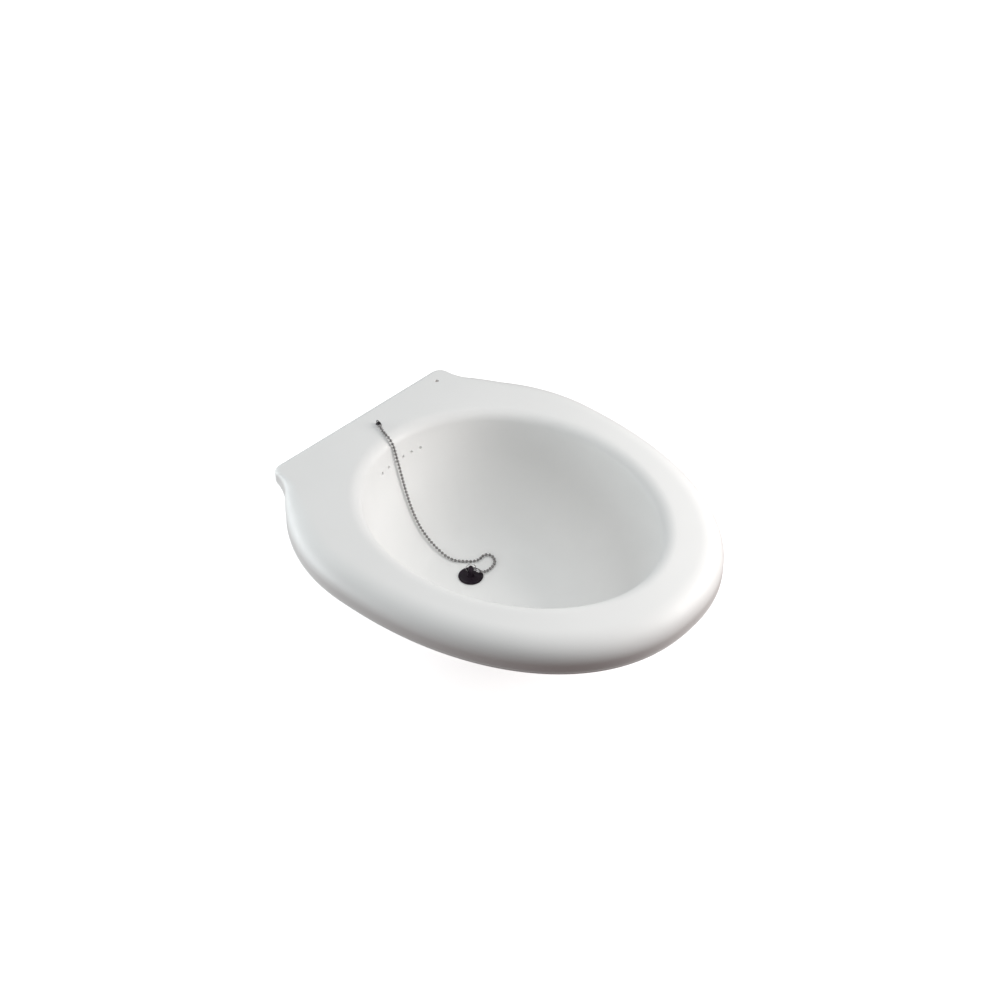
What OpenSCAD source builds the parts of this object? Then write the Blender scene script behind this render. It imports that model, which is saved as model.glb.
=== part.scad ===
// Portable bidet bowl that sits over a toilet pan, with its plug and ball chain.
// Millimetres, +Z up, +Y towards the straight back edge, origin under the middle of the bowl at its foot.

/* [Rim] */
// Length from the nose to the straight back edge
overall_l = 439; // [432:1:447]
// Width across the widest line
overall_w = 382; // [376:1:388]
// Height of the rim's top above the surface it stands on
rim_z = 148; // [142:1:152]
// How far the widest line lies behind the middle
widest_y = 52; // [46:1:56]
// Fullness of the nose, 2 being a plain ellipse
nose_power = 2.2; // [2:0.05:2.4]
// Half the width across the two rear ears
ear_half_w = 126; // [122:1:130]
// Corner radius of an ear in plan
ear_corner_r = 12; // [8:0.5:13]
// Radius of the hollow waist in front of each ear
waist_r = 36; // [30:1:38]

/* [Skirt] */
// Depth of the skirt below the rim's top at the nose and sides
skirt_h = 31; // [28:1:34]
// Depth of the short lip along the back edge
back_lip_h = 15; // [12:0.5:17]
// Width of the rolled shoulder at the nose and sides
roll_w = 25; // [20:1:28]
// Depth of the rolled shoulder at the nose and sides
roll_h = 20; // [16:1:22]
// Width of the rolled shoulder along the back edge
back_roll_w = 7; // [5:0.5:9]
// Depth of the rolled shoulder along the back edge
back_roll_h = 5; // [4:0.5:7]
// How far the bead stands out along the skirt's bottom edge
bead = 0.4; // [0.2:0.1:0.8]

/* [Bowl] */
// Wall thickness of the moulded shell
wall = 3; // [2.6:0.1:3.2]
// Width of the opening
opening_w = 263; // [256:1:266]
// Length of the opening
opening_l = 318; // [310:1:320]
// Extra breadth of the opening's rear half, as a share of its width
opening_egg = 0.06; // [0:0.01:0.08]
// Width of the soft lip around the opening
lip_w = 16; // [14:1:18]
// Depth of the soft lip around the opening
lip_h = 13; // [11:1:14]
// Height of the bowl's floor above the surface it stands on
floor_z = 11; // [10:0.5:13]
// Half the width of the flat part of the floor
floor_a = 46; // [40:1:50]
// Half the length of the flat part of the floor
floor_b = 60; // [54:1:62]
// How far the middle of the floor lies behind the middle
floor_y = 22; // [18:1:24]
// How late the wall turns into the floor
wall_power = 2.6; // [2.2:0.1:2.8]
// Outer radius of the standing ring under the floor
foot_r = 52; // [48:1:54]

/* [Holes] */
// Distance of the drain behind the middle
drain_y = 56.5; // [55:0.5:58]
// Radius of the drain hole
drain_r = 9.6; // [9.6:0.1:10]
// Number of overflow holes in the rear wall
overflow_n = 6; // [4:1:6]
// Distance between overflow holes
overflow_pitch = 11.7; // [10:0.1:12.5]
// Radius of an overflow hole
overflow_r = 1.6; // [1.2:0.1:2]
// Depth of the overflow row below the rim's top
overflow_drop = 26; // [22:1:28]
// Distance of the overflow row's middle from the middle, to the left when less than 0
overflow_x = -3; // [-3:0.5:3]
// Distance of the ear hole to the right of the middle
ear_hole_x = 102; // [98:1:104]
// Distance of the ear hole behind the middle
ear_hole_y = 200; // [196:1:202]
// Radius of the ear hole
ear_hole_r = 2; // [1.6:0.1:2.4]

/* [Plug and chain] */
// Radius of the plug's flange
flange_r = 13.6; // [13:0.1:14]
// Height of the plug's boss above its flange
boss_h = 13.6; // [12:0.1:14]
// Distance of the chain stay to the right of the middle
stay_x = 1.5; // [0:0.5:3]
// Distance of the chain stay behind the middle
stay_y = 191; // [189:1:193]
// Diameter of a chain ball
ball_d = 3.2; // [3:0.1:3.2]

/* [Hidden] */
$fn = 48;

half_w = overall_w / 2;
nose_l = overall_l / 2 + widest_y;
back_y = overall_l / 2;
open_a = opening_w / 2;
open_b = opening_l / 2;

// Points along each stretch of half an outline, from the nose to the middle of the back edge
nose_steps = 20;
side_steps = 7;
waist_steps = 4;
corner_steps = 4;
back_steps = 7;

// The hollow waist is an arc that touches both the side's arc and the ear's corner arc
side_centre = [0, widest_y];
corner_centre = [ear_half_w - ear_corner_r, back_y - ear_corner_r];
apart = norm(corner_centre - side_centre);
corner_way = (corner_centre - side_centre) / apart;
side_reach = half_w + waist_r;
corner_reach = ear_corner_r + waist_r;
waist_along = (pow(side_reach, 2) - pow(corner_reach, 2) + pow(apart, 2)) / (2 * apart);
waist_out = sqrt(pow(side_reach, 2) - pow(waist_along, 2));
waist_centre = side_centre + corner_way * waist_along + [corner_way[1], -corner_way[0]] * waist_out;
function bearing(v) = atan2(v[1], v[0]);
side_end = bearing(waist_centre - side_centre);
corner_start = bearing(waist_centre - corner_centre);

// A signed power, so that a super-ellipse keeps its quadrant
function spow(v, p) = sign(v) * pow(abs(v), p);
function smooth(t) = let (c = min(1, max(0, t))) c * c * (3 - 2 * c);
function unit(v) = v / norm(v);

function nose_point(a) = [half_w * spow(sin(a), 2 / nose_power),
                          widest_y - nose_l * spow(cos(a), 2 / nose_power)];
function arc_point(centre, r, a) = centre + r * [cos(a), sin(a)];
function arc_points(centre, r, start, end, steps, first = 0) =
    [for (i = [first:steps]) arc_point(centre, r, start + (end - start) * i / steps)];

// Half the outline, anticlockwise from the nose on the +X side to the middle of the back edge
half_outline = concat(
    [for (i = [0:nose_steps - 1]) nose_point(90 * i / nose_steps)],
    arc_points(side_centre, half_w, 0, side_end, side_steps),
    arc_points(waist_centre, waist_r, 180 + side_end, 180 + corner_start, waist_steps, 1),
    arc_points(corner_centre, ear_corner_r, corner_start, 90, corner_steps, 1),
    [for (i = [1:back_steps]) [corner_centre[0] * (1 - i / back_steps), back_y]]);
half_n = len(half_outline);
outline = concat(half_outline,
                 [for (i = [half_n - 2:-1:1]) [-half_outline[i][0], half_outline[i][1]]]);
around = len(outline);

// The opening's and the floor's points that face each outline point
function facing(p) = atan2(p[1] / open_b, p[0] / open_a);
opening = [for (p = outline) let (a = facing(p))
    [open_a * cos(a) * (1 + opening_egg * sin(a)), open_b * sin(a)]];
floor_edge = [for (p = outline) let (a = facing(p)) [floor_a * cos(a), floor_y + floor_b * sin(a)]];

// Share of the back edge's section at each outline point: 0 up to where the change starts, 1 where it ends
roll_change_y = [150, 214];
skirt_change_y = [176, 214];
function share(p, change) = smooth((p[1] - change[0]) / (change[1] - change[0]));
roll_share = [for (p = outline) share(p, roll_change_y)];
skirt_share = [for (p = outline) share(p, skirt_change_y)];
function mix(a, b, t) = a + (b - a) * t;
function at_z(p, z) = [p[0], p[1], z];

// Sections from the floor to the skirt's bottom edge, one function per stretch
wall_top = rim_z - lip_h;
function wall_point(i, f) =
    at_z(mix(floor_edge[i], opening[i], f), wall_top - (wall_top - floor_z) * (1 - pow(f, wall_power)));
function lip_point(i, a) =
    at_z(opening[i] + unit(outline[i] - opening[i]) * lip_w * (1 - cos(a)), wall_top + lip_h * sin(a));
function rim_inset(i, d) = outline[i] + unit(opening[i] - outline[i]) * (d + bead);
function roll_point(i, a) = let (w = mix(roll_w, back_roll_w, roll_share[i]),
                                 h = mix(roll_h, back_roll_h, roll_share[i]))
    at_z(rim_inset(i, w * (1 - sin(a))), rim_z - h * (1 - cos(a)));
function skirt_point(i, up) =
    at_z(rim_inset(i, 0), rim_z - mix(skirt_h, back_lip_h, skirt_share[i]) + up);

wall_stops = [0, 0.1, 0.2, 0.35, 0.5, 0.62, 0.73, 0.82, 0.9, 0.96];
lip_angles = [0, 25, 50, 90];
roll_angles = [0, 20, 38, 55, 72, 90];
skirt_ups = [2.4, 1.2, 0];
sheet = concat(
    [for (f = wall_stops) [for (i = [0:around - 1]) wall_point(i, f)]],
    [for (a = lip_angles) [for (i = [0:around - 1]) lip_point(i, a)]],
    [for (a = roll_angles) [for (i = [0:around - 1]) roll_point(i, a)]],
    [for (up = skirt_ups) [for (i = [0:around - 1]) skirt_point(i, up)]]);
rings = len(sheet);

// The floor and the flat deck of the rim lie level: the first ring, and the two at the deck's edges
deck_ring = len(wall_stops) + len(lip_angles) - 1;
function level(j) = j == 0 || j == deck_ring || j == deck_ring + 1;

// Outward normals of the sheet, found from each point's neighbours
function along(j, i) = sheet[j][(i + 1) % around] - sheet[j][(i + around - 1) % around];
function across(j, i) = sheet[min(j + 1, rings - 1)][i] - sheet[j - 1][i];
function normal(j, i) = level(j) ? [0, 0, 1] : unit(cross(across(j, i), along(j, i)));
bead_share = [for (j = [0:rings - 1]) j == rings - 2 ? 1 : 0];

upper = [for (j = [0:rings - 1]) [for (i = [0:around - 1])
    sheet[j][i] + normal(j, i) * bead * bead_share[j]]];
lower = [for (j = [0:rings - 1]) [for (i = [0:around - 1]) sheet[j][i] - normal(j, i) * wall]];

module moulded_shell() {
    count = rings * around;
    upper_pole = 2 * count;
    lower_pole = upper_pole + 1;
    points = concat([for (r = upper) each r], [for (r = lower) each r],
                    [[0, floor_y, floor_z], [0, floor_y, floor_z - wall]]);
    side_faces = [for (j = [0:rings - 2]) for (i = [0:around - 1])
        let (k = (i + 1) % around, a = j * around + i, b = j * around + k)
        each [[a, b, a + around], [b, b + around, a + around],
              [count + a, count + a + around, count + b],
              [count + b, count + a + around, count + b + around]]];
    last = (rings - 1) * around;
    edge_faces = [for (i = [0:around - 1])
        let (k = (i + 1) % around)
        each [[last + i, last + k, count + last + i],
              [last + k, count + last + k, count + last + i],
              [upper_pole, k, i],
              [lower_pole, count + i, count + k]]];
    polyhedron(points = points, faces = concat(side_faces, edge_faces), convexity = 8);
}

// Standing ring and drain collar under the floor
foot_wall = 3;
collar_wall = 3;
collar_z = 1;
foot_top = floor_z - wall / 2;

// Cutters run this far past what they cut
past = 1;
overflow_z = rim_z - overflow_drop;
overflow_depth = 32;
deck_cut = 20;

// Plug: a flange on the floor, a tapered body in the drain and a boss with a cross hole for the ring
plug_lift = 0.1;
plug_z = floor_z + plug_lift;
plug_gap = 0.3;
plug_taper = 1.2;
plug_body_h = 9;
plug_chamfer = 0.6;
flange_t = 1.6;
flange_dish = 0.4;
flange_edge_r = 0.8;
flange_edge_w = 2.5;
flange_edge = [flange_r - flange_edge_r, flange_t - flange_edge_r];
edge_steps = 6;
boss_base_r = 3.8;
boss_base_w = 0.8;
boss_top_r = 2.4;
dome_angles = [20, 34, 48, 62, 76, 90];
eye_r = 1.9;
eye_up = 5.6;
eye_z = plug_z + flange_t + eye_up;

// The ring stands in the plane of the boss's cross hole, which is turned this far from +X
eye_turn = -40;
ring_wire_r = 0.45;
ring_r = 5.4;
wire_sides = 24;

// Coupling: a flat tab with a hole, then a bell that holds the chain's end ball
tab_r = 1.5;
tab_t = 0.8;
tab_hole_r = 0.75;
neck_r = 0.6;
neck_start = 1;
bell_r = 2;
bell_hollow_r = 1.7;
bell_start = 1.7;
bell_shoulder_r = 1.7;
bell_shoulder_l = 0.7;
bell_slope_l = 1.5;
bell_lip_l = 0.4;
bell_lip_w = 0.3;
coupling_l = 5.4;
bell_depth = 2.6;
plug_tab_angle = -38;
stay_yaw = -125;

// Chain stay: an eye bolt through the rear deck, held by a washer and nut below
stay_hole_r = 1.8;
stem_r = 1.5;
stay_eye_r = 1.7;
stay_wire_r = 0.5;
stay_flange_r = 2.4;
stay_flange_t = 0.8;
stay_neck_h = 0.6;
stay_eye_up = 0.4;
stay_eye_z = rim_z + stay_flange_t + stay_eye_r + stay_eye_up;
stem_overlap = 0.1;
washer_r = 4.5;
washer_t = 0.8;
nut_af = 5.5;
nut_t = 2.4;
thread_gap = 0.02;
stem_end = 1.2;

// Middle line of the chain, from the stay's coupling over the lip and down the wall to the plug's coupling
chain_route = [
    [-1.6, 184.9, 150.9], [-3.5, 181.2, 150.3], [-5.2, 177.2, 149.9], [-6.6, 173, 149.8],
    [-7.8, 168.5, 149.4],
    [-8.5, 163.8, 148], [-8.8, 159.8, 144.8], [-8.7, 157.4, 140], [-8.5, 155.9, 134.5],
    [-8.5, 154, 127.8], [-8.4, 151.1, 117.6], [-8.4, 147, 103], [-8.3, 142.6, 88], [-8, 137.4, 72.7],
    [-7.1, 131.3, 57.4], [-5.6, 124.5, 44.1], [-3.6, 118.3, 34.5], [-1.4, 112.2, 26.8], [0.6, 105.6, 20.7],
    [2.2, 98.4, 16.2], [3.8, 91.2, 13.9], [6, 84.8, 13.1], [9.4, 79.8, 12.9], [13.2, 75.2, 12.8],
    [17, 70.8, 12.8], [21.5, 67.7, 12.8], [26.6, 66.9, 12.9], [31.3, 67.4, 13], [35.1, 66.4, 13],
    [37.6, 63.9, 13], [38.3, 60.4, 12.9], [37.2, 56.2, 12.8], [34.2, 52.2, 12.8], [30, 49.4, 12.8],
    [25.4, 48.2, 12.8], [20.8, 47.9, 12.8], [16.8, 48.1, 13], [13.4, 48.6, 13.8], [10.9, 49.2, 14.8],
    [8.5, 50, 15.8], [6.5, 51, 17.1]];
route_steps = 2;
chain_sides = 8;

// Catmull-Rom curve through a list of points
function held(p, i) = p[max(0, min(len(p) - 1, i))];
function spline_point(p, i, t) =
    let (a = held(p, i - 1), b = held(p, i), c = held(p, i + 1), d = held(p, i + 2))
    0.5 * (2 * b + (c - a) * t + (2 * a - 5 * b + 4 * c - d) * t * t + (3 * b - a - 3 * c + d) * t * t * t);
chain_line = concat([for (i = [0:len(chain_route) - 2]) for (s = [0:route_steps - 1])
                        spline_point(chain_route, i, s / route_steps)],
                    [chain_route[len(chain_route) - 1]]);

module bowl() {
    color("white")
    difference() {
        union() {
            moulded_shell();
            translate([0, floor_y, 0])
                difference() {
                    cylinder(h = foot_top, r = foot_r);
                    translate([0, 0, -past]) cylinder(h = foot_top + 2 * past, r = foot_r - foot_wall);
                }
            translate([0, drain_y, collar_z])
                cylinder(h = foot_top - collar_z, r = drain_r + collar_wall);
        }
        translate([0, drain_y, -past]) cylinder(h = floor_z + 2 * past, r = drain_r);
        for (k = [0:overflow_n - 1])
            translate([overflow_x + (k - (overflow_n - 1) / 2) * overflow_pitch, open_b, overflow_z])
                rotate([90, 0, 0]) cylinder(h = overflow_depth, r = overflow_r, center = true);
        translate([ear_hole_x, ear_hole_y, rim_z]) cylinder(h = deck_cut, r = ear_hole_r, center = true);
        translate([stay_x, stay_y, rim_z]) cylinder(h = deck_cut, r = stay_hole_r, center = true);
    }
}

module drain_plug() {
    top_r = drain_r - plug_gap;
    color([0.08, 0.08, 0.09])
    translate([0, drain_y, plug_z])
        difference() {
            rotate_extrude() polygon(concat(
                [[0, -plug_body_h], [top_r - plug_taper - plug_chamfer, -plug_body_h],
                 [top_r - plug_taper, plug_chamfer - plug_body_h], [top_r, 0]],
                arc_points(flange_edge, flange_edge_r, -90, 90, edge_steps),
                [[flange_r - flange_edge_w, flange_t - flange_dish],
                 [boss_base_r + boss_base_w, flange_t - flange_dish], [boss_base_r, flange_t]],
                [for (a = dome_angles) arc_point([0, flange_t + boss_h - boss_top_r], boss_top_r, a)]));
            translate([0, 0, flange_t + eye_up])
                rotate([0, 90, eye_turn]) cylinder(h = 4 * boss_base_r, r = eye_r, center = true);
        }
}

module wire_ring(mean_r, wire_r) {
    rotate_extrude() translate([mean_r, 0]) circle(r = wire_r, $fn = wire_sides);
}

module plug_ring() {
    color("silver")
    translate([0, drain_y, eye_z])
        rotate([0, 0, eye_turn])
            translate([0, 0, ring_r])
                rotate([90, 0, 0]) wire_ring(ring_r, ring_wire_r);
}

// A coupling whose tab hole is at the origin and whose bell opens along +X
module coupling() {
    difference() {
        union() {
            translate([0, 0, -tab_t / 2]) cylinder(h = tab_t, r = tab_r);
            rotate([0, 90, 0]) translate([0, 0, neck_start]) cylinder(h = bell_start, r = neck_r);
            rotate([0, 90, 0])
                rotate_extrude() polygon([[0, bell_start], [neck_r, bell_start],
                                          [bell_shoulder_r, bell_start + bell_shoulder_l],
                                          [bell_r, bell_start + bell_slope_l],
                                          [bell_r, coupling_l - bell_lip_l],
                                          [bell_r - bell_lip_w, coupling_l], [0, coupling_l]]);
        }
        translate([0, 0, -tab_t]) cylinder(h = 2 * tab_t, r = tab_hole_r);
        translate([coupling_l - bell_depth, 0, 0])
            rotate([0, 90, 0]) cylinder(h = bell_depth + past, r = bell_hollow_r);
    }
}

module plug_end_coupling() {
    color("silver")
    translate([0, drain_y, eye_z])
        rotate([0, 0, eye_turn])
            translate([0, 0, ring_r])
                rotate([0, -plug_tab_angle, 0]) translate([ring_r, 0, 0]) coupling();
}

module stay_end_coupling() {
    color("silver")
    translate([stay_x, stay_y - stay_eye_r, stay_eye_z])
        rotate([0, 0, stay_yaw]) coupling();
}

module chain_stay() {
    color("silver")
    translate([stay_x, stay_y, 0]) {
        translate([0, 0, stay_eye_z]) rotate([0, 90, 0]) wire_ring(stay_eye_r, stay_wire_r);
        translate([0, 0, rim_z]) cylinder(h = stay_flange_t, r = stay_flange_r);
        translate([0, 0, rim_z]) cylinder(h = stay_flange_t + stay_neck_h, r = stem_r);
        translate([0, 0, rim_z - wall - washer_t - nut_t - stem_end])
            cylinder(h = wall + washer_t + nut_t + stem_end + stem_overlap, r = stem_r);
    }
}

module stay_washer() {
    color("silver")
    translate([stay_x, stay_y, rim_z - wall - washer_t])
        difference() {
            cylinder(h = washer_t, r = washer_r);
            translate([0, 0, -past]) cylinder(h = washer_t + 2 * past, r = stay_hole_r);
        }
}

module stay_nut() {
    color("silver")
    translate([stay_x, stay_y, rim_z - wall - washer_t - nut_t])
        difference() {
            cylinder(h = nut_t, r = nut_af / sqrt(3), $fn = 6);
            translate([0, 0, -past]) cylinder(h = nut_t + 2 * past, r = stem_r + thread_gap);
        }
}

// A tube swept along a line, whose rings stay square to it without twisting
module swept_tube(line, r, sides) {
    n = len(line);
    way = [for (i = [0:n - 1]) unit(line[min(n - 1, i + 1)] - line[max(0, i - 1)])];
    side = [for (i = 0, v = unit(cross([1, 0, 0], way[0])); i < n; i = i + 1,
                 v = i < n ? unit(v - way[i] * (v * way[i])) : v) v];
    points = [for (i = [0:n - 1]) for (k = [0:sides - 1])
        let (a = 360 * k / sides) line[i] + r * (side[i] * cos(a) + cross(way[i], side[i]) * sin(a))];
    faces = concat(
        [for (i = [0:n - 2]) for (k = [0:sides - 1])
            let (m = (k + 1) % sides, a = i * sides + k, b = i * sides + m)
            each [[a, a + sides, b], [b, a + sides, b + sides]]],
        [[for (k = [0:sides - 1]) k]],
        [[for (k = [sides - 1:-1:0]) (n - 1) * sides + k]]);
    polyhedron(points = points, faces = faces, convexity = 10);
}

module ball_chain() {
    color("gainsboro") swept_tube(chain_line, ball_d / 2, chain_sides);
}

bowl();
drain_plug();
plug_ring();
plug_end_coupling();
ball_chain();
stay_end_coupling();
chain_stay();
stay_washer();
stay_nut();
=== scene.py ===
"""A portable bidet bowl with its plug and ball chain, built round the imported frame.

Metres, +Z up and +Y towards the straight back edge. The moulding repeats the CAD's sections with many more
points, and its places come from the frame.
"""

import math

import bpy
import numpy as np
from mathutils import Matrix, Vector


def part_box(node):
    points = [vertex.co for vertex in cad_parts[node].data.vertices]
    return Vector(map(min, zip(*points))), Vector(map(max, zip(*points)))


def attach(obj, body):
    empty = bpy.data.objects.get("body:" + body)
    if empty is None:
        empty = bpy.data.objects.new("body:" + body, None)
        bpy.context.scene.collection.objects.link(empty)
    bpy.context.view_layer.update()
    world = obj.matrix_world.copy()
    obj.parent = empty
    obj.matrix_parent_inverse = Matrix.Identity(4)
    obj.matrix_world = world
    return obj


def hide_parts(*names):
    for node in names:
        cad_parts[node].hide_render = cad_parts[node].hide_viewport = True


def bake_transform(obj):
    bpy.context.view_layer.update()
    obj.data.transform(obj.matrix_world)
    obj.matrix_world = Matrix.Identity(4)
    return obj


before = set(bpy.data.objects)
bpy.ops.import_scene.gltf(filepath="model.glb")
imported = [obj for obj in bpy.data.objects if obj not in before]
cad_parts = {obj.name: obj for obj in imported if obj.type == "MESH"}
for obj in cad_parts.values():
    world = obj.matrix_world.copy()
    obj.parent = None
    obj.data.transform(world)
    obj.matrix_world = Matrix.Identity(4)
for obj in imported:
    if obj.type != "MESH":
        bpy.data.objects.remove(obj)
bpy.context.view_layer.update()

MM = 0.001


def middle(node):
    """The middle of a CAD node's box."""
    low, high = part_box(node)
    return (low + high) / 2


# ---------------------------------------------------------------- camera

CAMERA_AZIMUTH = -49.0
CAMERA_ELEVATION = 39.98
CAMERA_ROLL = -0.68
CAMERA_DISTANCE = 1.3158
CAMERA_LENS = 47.37
CAMERA_AIM = Vector((-0.0017, 0.0145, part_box("bowl")[1].z - 0.0045))


def make_camera():
    turn, tilt, roll = (math.radians(a) for a in (CAMERA_AZIMUTH, CAMERA_ELEVATION, CAMERA_ROLL))
    back = Vector((math.sin(turn) * math.cos(tilt), -math.cos(turn) * math.cos(tilt), math.sin(tilt)))
    right = Vector((math.cos(turn), math.sin(turn), 0))
    up = back.cross(right)
    rolled_right = right * math.cos(roll) - up * math.sin(roll)
    rolled_up = up * math.cos(roll) + right * math.sin(roll)
    data = bpy.data.cameras.new("camera")
    data.lens = CAMERA_LENS
    data.sensor_width = 36
    data.clip_start, data.clip_end = 0.05, 50
    camera = bpy.data.objects.new("camera", data)
    bpy.context.collection.objects.link(camera)
    turned = Matrix((rolled_right, rolled_up, back)).transposed().to_4x4()
    camera.matrix_world = Matrix.Translation(CAMERA_AIM + back * CAMERA_DISTANCE) @ turned
    bpy.context.scene.camera = camera


make_camera()


# ---------------------------------------------------------------- mesh helpers


def mesh_object(name, points, faces):
    mesh = bpy.data.meshes.new(name)
    mesh.from_pydata([tuple(p) for p in points], [], faces)
    mesh.validate()
    mesh.update()
    made = bpy.data.objects.new(name, mesh)
    bpy.context.collection.objects.link(made)
    return made


def swept_rings(rings, loop=False):
    """Points and faces of a surface through equal rings of points; the ends of an open one get fans."""
    rings = np.asarray(rings, float)
    count, sides = rings.shape[:2]
    points = list(rings.reshape(-1, 3))
    faces = []
    for j in range(count if loop else count - 1):
        a, b = j * sides, (j + 1) % count * sides
        for k in range(sides):
            m = (k + 1) % sides
            faces.append((a + k, a + m, b + m, b + k))
    if not loop:
        for j, order in ((0, -1), (count - 1, 1)):
            points.append(rings[j].mean(axis=0))
            pole = len(points) - 1
            for k in range(sides):
                edge = (j * sides + k, j * sides + (k + 1) % sides)
                faces.append((*edge[::order], pole))
    return points, faces


def revolved(profile, sides, loop=False):
    """Rings of a profile of (radius, height) pairs turned round +Z, low to high or round a closed loop."""
    turn = np.linspace(0, 2 * math.pi, sides, endpoint=False)
    rings = [np.column_stack([r * np.cos(turn), r * np.sin(turn), np.full(sides, z)]) for r, z in profile]
    return swept_rings(rings, loop)


def arc(x, y, radius, start, end, steps):
    """Points of an arc in a profile's plane, angles in degrees."""
    angles = np.radians(np.linspace(start, end, steps + 1))
    return [(x + radius * math.cos(a), y + radius * math.sin(a)) for a in angles]


def combine(target, other, operation):
    """Joins other to target, or cuts it away, and removes it."""
    modifier = target.modifiers.new(operation, "BOOLEAN")
    modifier.operation = operation
    modifier.object = other
    modifier.solver = "MANIFOLD"
    bpy.context.view_layer.update()
    shown = target.evaluated_get(bpy.context.evaluated_depsgraph_get())
    mesh = bpy.data.meshes.new_from_object(shown)
    target.modifiers.clear()
    target.data = mesh
    bpy.data.objects.remove(other)


def finish_piece(piece, material, body, slot, *nodes, sharp=35):
    piece.data.shade_smooth()
    piece.data.set_sharp_from_angle(angle=math.radians(sharp))
    piece.data.materials.clear()
    piece.data.materials.append(material)
    if nodes:
        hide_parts(*nodes)
    if body:
        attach(piece, body)


# ---------------------------------------------------------------- materials


def new_material(name):
    material = bpy.data.materials.new(name)
    material.use_nodes = True
    nodes = material.node_tree.nodes
    nodes.clear()
    shader = nodes.new("ShaderNodeBsdfPrincipled")
    output = nodes.new("ShaderNodeOutputMaterial")
    material.node_tree.links.new(shader.outputs[0], output.inputs[0])
    return material, shader


class Graph:
    """Short calls that add nodes to one material."""

    def __init__(self, material, shader):
        self.tree = material.node_tree
        self.shader = shader
        self.place = self.tree.nodes.new("ShaderNodeTexCoord").outputs["Object"]

    def link(self, source, socket):
        self.tree.links.new(source, socket)

    def noise(self, scale, detail=2.0, roughness=0.5, stretch=None):
        node = self.tree.nodes.new("ShaderNodeTexNoise")
        node.inputs["Scale"].default_value = scale
        node.inputs["Detail"].default_value = detail
        node.inputs["Roughness"].default_value = roughness
        source = self.place
        if stretch:
            mapping = self.tree.nodes.new("ShaderNodeMapping")
            mapping.inputs["Scale"].default_value = stretch
            self.link(self.place, mapping.inputs["Vector"])
            source = mapping.outputs[0]
        self.link(source, node.inputs["Vector"])
        return node.outputs["Fac"]

    def spots(self, scale):
        node = self.tree.nodes.new("ShaderNodeTexVoronoi")
        node.inputs["Scale"].default_value = scale
        self.link(self.place, node.inputs["Vector"])
        return node.outputs["Distance"]

    def spread(self, source, low, high, out_low=0.0, out_high=1.0):
        node = self.tree.nodes.new("ShaderNodeMapRange")
        for name, value in (("From Min", low), ("From Max", high), ("To Min", out_low), ("To Max", out_high)):
            node.inputs[name].default_value = value
        self.link(source, node.inputs["Value"])
        return node.outputs["Result"]

    def math(self, operation, a, b):
        node = self.tree.nodes.new("ShaderNodeMath")
        node.operation = operation
        for socket, value in zip(node.inputs, (a, b)):
            if isinstance(value, (int, float)):
                socket.default_value = value
            else:
                self.link(value, socket)
        return node.outputs[0]

    def blend_colours(self, share, first, second):
        node = self.tree.nodes.new("ShaderNodeMix")
        node.data_type = "RGBA"
        self.link(share, node.inputs["Factor"])
        for socket, value in ((node.inputs[6], first), (node.inputs[7], second)):
            if isinstance(value, tuple):
                socket.default_value = (*value, 1)
            else:
                self.link(value, socket)
        return node.outputs[2]

    def bump(self, height, strength, distance):
        node = self.tree.nodes.new("ShaderNodeBump")
        node.inputs["Strength"].default_value = strength
        node.inputs["Distance"].default_value = distance
        self.link(height, node.inputs["Height"])
        self.link(node.outputs[0], self.shader.inputs["Normal"])

    def occlusion_shade(self, distance):
        """1 in the open and less in corners; it masks the shade painted into the plating's corners."""
        node = self.tree.nodes.new("ShaderNodeAmbientOcclusion")
        node.samples = 8
        node.inputs["Distance"].default_value = distance
        return node.outputs["AO"]


def moulded_plastic():
    material, shader = new_material("moulded_plastic")
    graph = Graph(material, shader)
    shader.inputs["IOR"].default_value = 1.5
    cloud = graph.spread(graph.noise(9, 3), 0.3, 0.7)
    colour = graph.blend_colours(cloud, (0.87, 0.872, 0.862), (0.9, 0.9, 0.89))
    speck = graph.spread(graph.spots(260), 0.03, 0.06, 1, 0)
    sparse = graph.spread(graph.noise(70, 1), 0.66, 0.7)
    dust = graph.math("MULTIPLY", speck, sparse)
    colour = graph.blend_colours(graph.math("MULTIPLY", dust, 0.35), colour, (0.45, 0.43, 0.4))
    graph.link(colour, shader.inputs["Base Color"])
    wear = graph.spread(graph.noise(45, 5, 0.65), 0.35, 0.7, 0.4, 0.52)
    graph.link(wear, shader.inputs["Roughness"])
    peel = graph.math("MULTIPLY", graph.noise(420, 2), 0.6)
    drift = graph.math("MULTIPLY", graph.noise(28, 1), 2.5)
    graph.bump(graph.math("ADD", peel, drift), 0.12, 0.0004)
    return material


def black_rubber():
    material, shader = new_material("black_rubber")
    graph = Graph(material, shader)
    shader.inputs["IOR"].default_value = 1.52
    shader.inputs["Specular IOR Level"].default_value = 0.2
    bloom = graph.spread(graph.noise(120, 4, 0.6), 0.4, 0.72)
    colour = graph.blend_colours(bloom, (0.009, 0.004, 0.009), (0.026, 0.016, 0.027))
    graph.link(colour, shader.inputs["Base Color"])
    graph.link(graph.spread(graph.noise(300, 3), 0.3, 0.7, 0.42, 0.62), shader.inputs["Roughness"])
    graph.bump(graph.noise(900, 3, 0.6), 0.25, 0.0002)
    return material


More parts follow.
